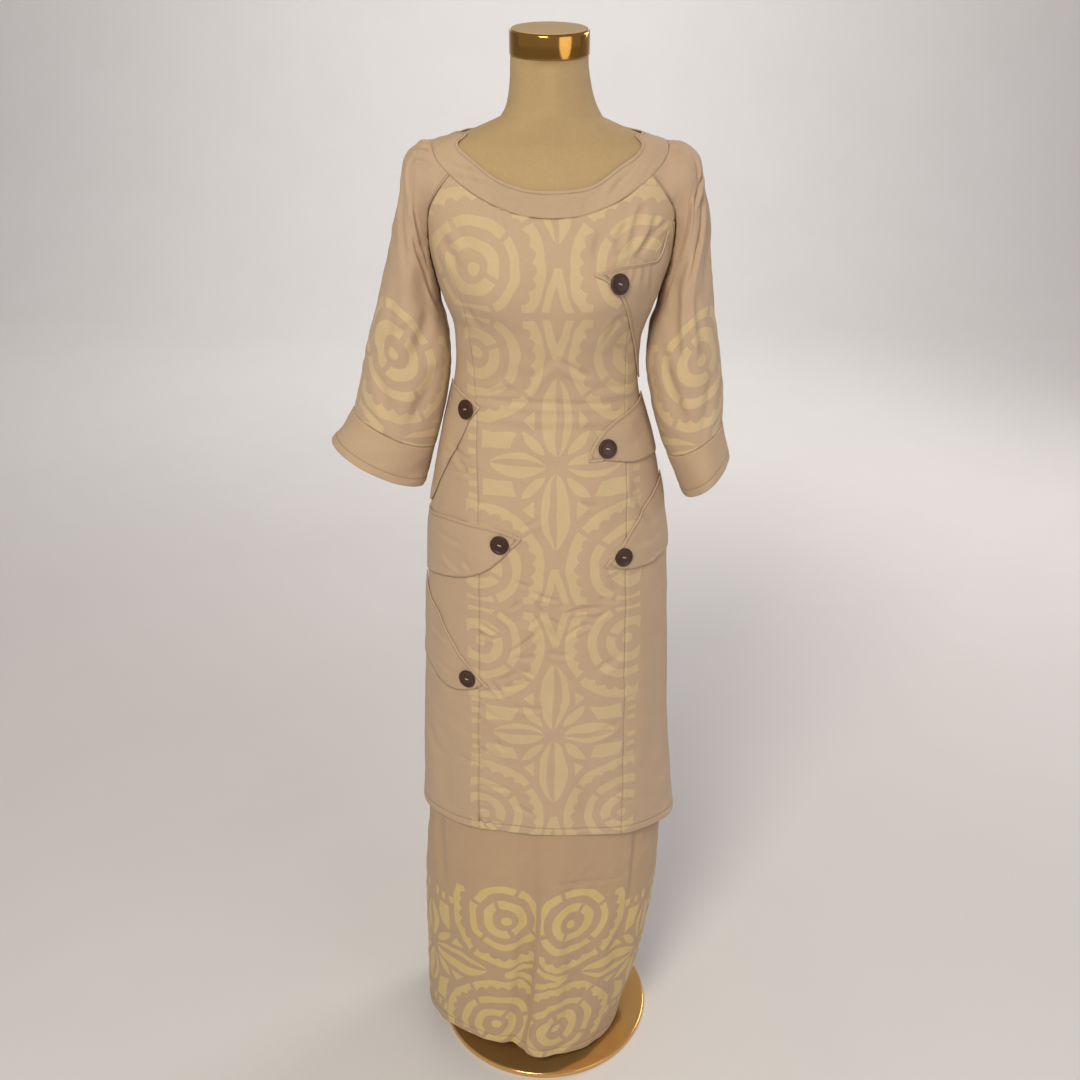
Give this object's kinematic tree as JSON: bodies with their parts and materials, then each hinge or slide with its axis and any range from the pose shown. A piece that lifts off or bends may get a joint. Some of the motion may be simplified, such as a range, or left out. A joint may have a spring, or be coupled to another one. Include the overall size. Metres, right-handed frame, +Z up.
{
  "type": "puletasi on a dress form",
  "caption": "Samoan two-piece dress, a fitted tunic with buttoned leaf tabs and flared cuffs over a long straight skirt, worn by a limbless dress form on a round gold base.",
  "frame": {"origin": "centre of the base's underside, below the pole", "axes": "+Z up along the pole, -Y towards the front of the dress, +X towards the wearer's left"},
  "size_m": [0.548, 0.35, 1.5733],
  "materials": {
    "plain_cotton": "plain woven cotton, matt",
    "printed_cotton": "woven cotton with a cream print, matt",
    "linen": "cream linen, matt",
    "gold": "mirror polished",
    "coconut": "smooth dark shell, satin"
  },
  "bodies": {
    "root": {"front": "printed_cotton", "side_front_right": "plain_cotton", "side_front_left": "plain_cotton", "back": "plain_cotton", "neckband": "plain_cotton", "sleeve_right": "printed_cotton", "sleeve_left": "printed_cotton", "cuff_right": "plain_cotton", "cuff_left": "plain_cotton", "tab_bust": "plain_cotton", "tab_waist_right": "plain_cotton", "tab_waist_left": "plain_cotton", "tab_hip_right": "plain_cotton", "tab_hip_left": "plain_cotton", "tab_thigh_right": "plain_cotton", "button_bust": "coconut", "button_waist_right": "coconut", "button_waist_left": "coconut", "button_hip_right": "coconut", "button_hip_left": "coconut", "button_thigh_right": "coconut", "skirt_front": "printed_cotton", "skirt_back": "printed_cotton", "waistband": "plain_cotton", "form_torso": "linen", "neck_cap": "gold", "neck_lid": "linen", "form_flange": "linen", "pole": "gold", "pole_collar": "gold", "base": "gold"}
  },
  "joints": []
}
